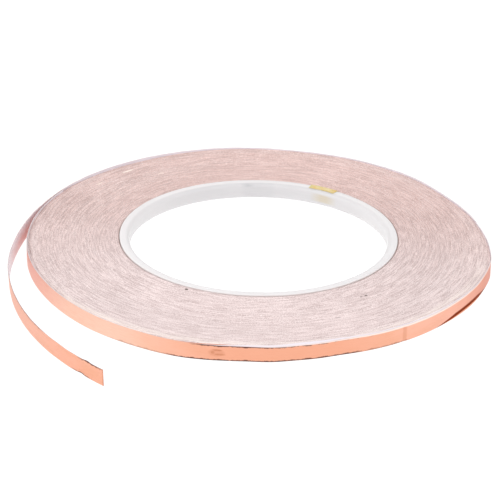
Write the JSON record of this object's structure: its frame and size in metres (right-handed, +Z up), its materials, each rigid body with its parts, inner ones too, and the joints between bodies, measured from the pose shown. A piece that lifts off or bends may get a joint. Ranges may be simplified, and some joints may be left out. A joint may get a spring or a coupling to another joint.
{
  "type": "copper foil tape roll",
  "caption": "Roll of narrow copper foil tape wound on a plastic ring core, with a free tail that lies back or pulls straight, and foil that peels off its liner.",
  "frame": {"origin": "on the roll's axis, halfway up the outer turns of tape", "axes": "+Z up along the roll's axis; seen from above the tape winds outwards counter-clockwise and its tail leaves on the -X side and points towards -Y"},
  "size_m": [0.1389, 0.1511, 0.0068],
  "materials": {
    "copper_foil": "matte rolled copper foil, fine grain along the tape",
    "release_liner": "smooth off-white release paper",
    "turn_edges": "stacked edges of foil and liner, fine concentric streaks",
    "core_plastic": "translucent white moulded plastic, satin",
    "tab_tape": "yellow masking tape"
  },
  "bodies": {
    "roll": {"core_ring": "core_plastic", "start_tab": "tab_tape", "wound_pack": "turn_edges", "last_turn_foil": "copper_foil", "last_turn_liner": "release_liner"},
    "tail_1": {"tail_foil_1": "copper_foil", "tail_liner_1": "release_liner"},
    "tail_2": {"tail_foil_2": "copper_foil", "tail_liner_2": "release_liner"},
    "tail_3": {"tail_foil_3": "copper_foil", "tail_liner_3": "release_liner"},
    "tail_4": {"tail_foil_4": "copper_foil", "tail_liner_4": "release_liner"},
    "tail_5": {"tail_foil_5": "copper_foil", "tail_liner_5": "release_liner"},
    "tail_6": {"tail_foil_6": "copper_foil", "tail_liner_6": "release_liner"},
    "peeled_foil": {"foil_tip": "copper_foil"}
  },
  "joints": [
    {"name": "tail_bend_1", "type": "hinge", "parent": "roll", "child": "tail_1", "pos_m": [-0.05996, 0.03188, 0.00015], "axis": [0, 0, -1], "range_deg": [-2.3, 6.35]},
    {"name": "tail_bend_2", "type": "hinge", "parent": "tail_1", "child": "tail_2", "pos_m": [-0.06768, 0.01242, 0.00015], "axis": [0, 0, -1], "range_deg": [-4.6, 12.7]},
    {"name": "tail_bend_3", "type": "hinge", "parent": "tail_2", "child": "tail_3", "pos_m": [-0.07094, -0.00826, 0.00015], "axis": [0, 0, -1], "range_deg": [-4.6, 12.7]},
    {"name": "tail_bend_4", "type": "hinge", "parent": "tail_3", "child": "tail_4", "pos_m": [-0.06956, -0.02915, 0.00015], "axis": [0, 0, -1], "range_deg": [-4.6, 12.7]},
    {"name": "tail_bend_5", "type": "hinge", "parent": "tail_4", "child": "tail_5", "pos_m": [-0.06363, -0.04923, 0.00015], "axis": [0, 0, -1], "range_deg": [-4.6, 12.7]},
    {"name": "tail_bend_6", "type": "hinge", "parent": "tail_5", "child": "tail_6", "pos_m": [-0.05342, -0.06751, 0.00015], "axis": [0, 0, -1], "range_deg": [-4.6, 12.7]},
    {"name": "foil_tip_peel", "type": "hinge", "parent": "tail_6", "child": "peeled_foil", "pos_m": [-0.04986, -0.07233, 0.00015], "axis": [0, 0, -1], "range_deg": [0, 150]}
  ],
  "couplings": [
    {"joint": "tail_bend_2", "follows": "tail_bend_1", "ratio": 2},
    {"joint": "tail_bend_3", "follows": "tail_bend_1", "ratio": 2},
    {"joint": "tail_bend_4", "follows": "tail_bend_1", "ratio": 2},
    {"joint": "tail_bend_5", "follows": "tail_bend_1", "ratio": 2},
    {"joint": "tail_bend_6", "follows": "tail_bend_1", "ratio": 2}
  ]
}
